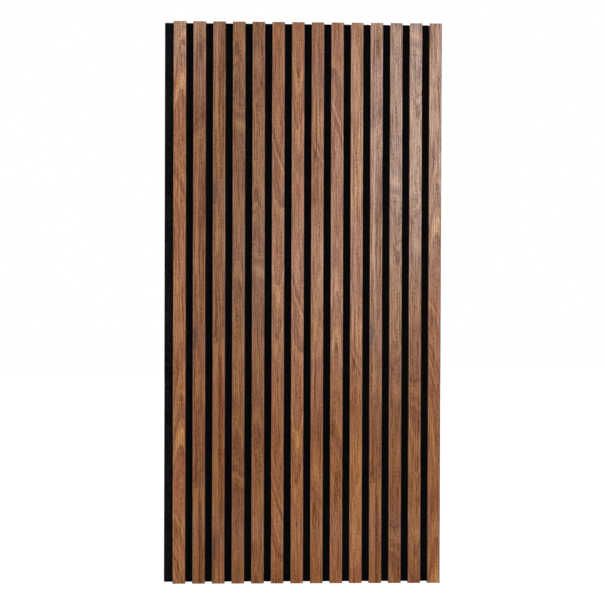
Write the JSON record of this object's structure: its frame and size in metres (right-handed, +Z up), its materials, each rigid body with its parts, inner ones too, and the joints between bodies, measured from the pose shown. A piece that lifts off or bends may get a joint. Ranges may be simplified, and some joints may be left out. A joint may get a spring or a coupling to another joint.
{
  "type": "slatted wood wall panel",
  "caption": "Upright wood slats with eased edges stapled to a black felt backing board, with open grooves between them and a bare felt lip along one edge for the next panel.",
  "frame": {"origin": "centre of the felt board's wall face", "axes": "+Z up along the slats, +Y into the wall, -Y out of the show face, -X towards the bare felt lip"},
  "size_m": [0.593, 0.021, 1.2],
  "materials": {
    "felt": "matte",
    "wood_veneer": "satin",
    "staple_wire": "satin"
  },
  "bodies": {
    "root": {"felt_backing": "felt", "slat_01": "wood_veneer", "slat_02": "wood_veneer", "slat_03": "wood_veneer", "slat_04": "wood_veneer", "slat_05": "wood_veneer", "slat_06": "wood_veneer", "slat_07": "wood_veneer", "slat_08": "wood_veneer", "slat_09": "wood_veneer", "slat_10": "wood_veneer", "slat_11": "wood_veneer", "slat_12": "wood_veneer", "slat_13": "wood_veneer", "slat_14": "wood_veneer", "staples": "staple_wire"}
  },
  "joints": []
}
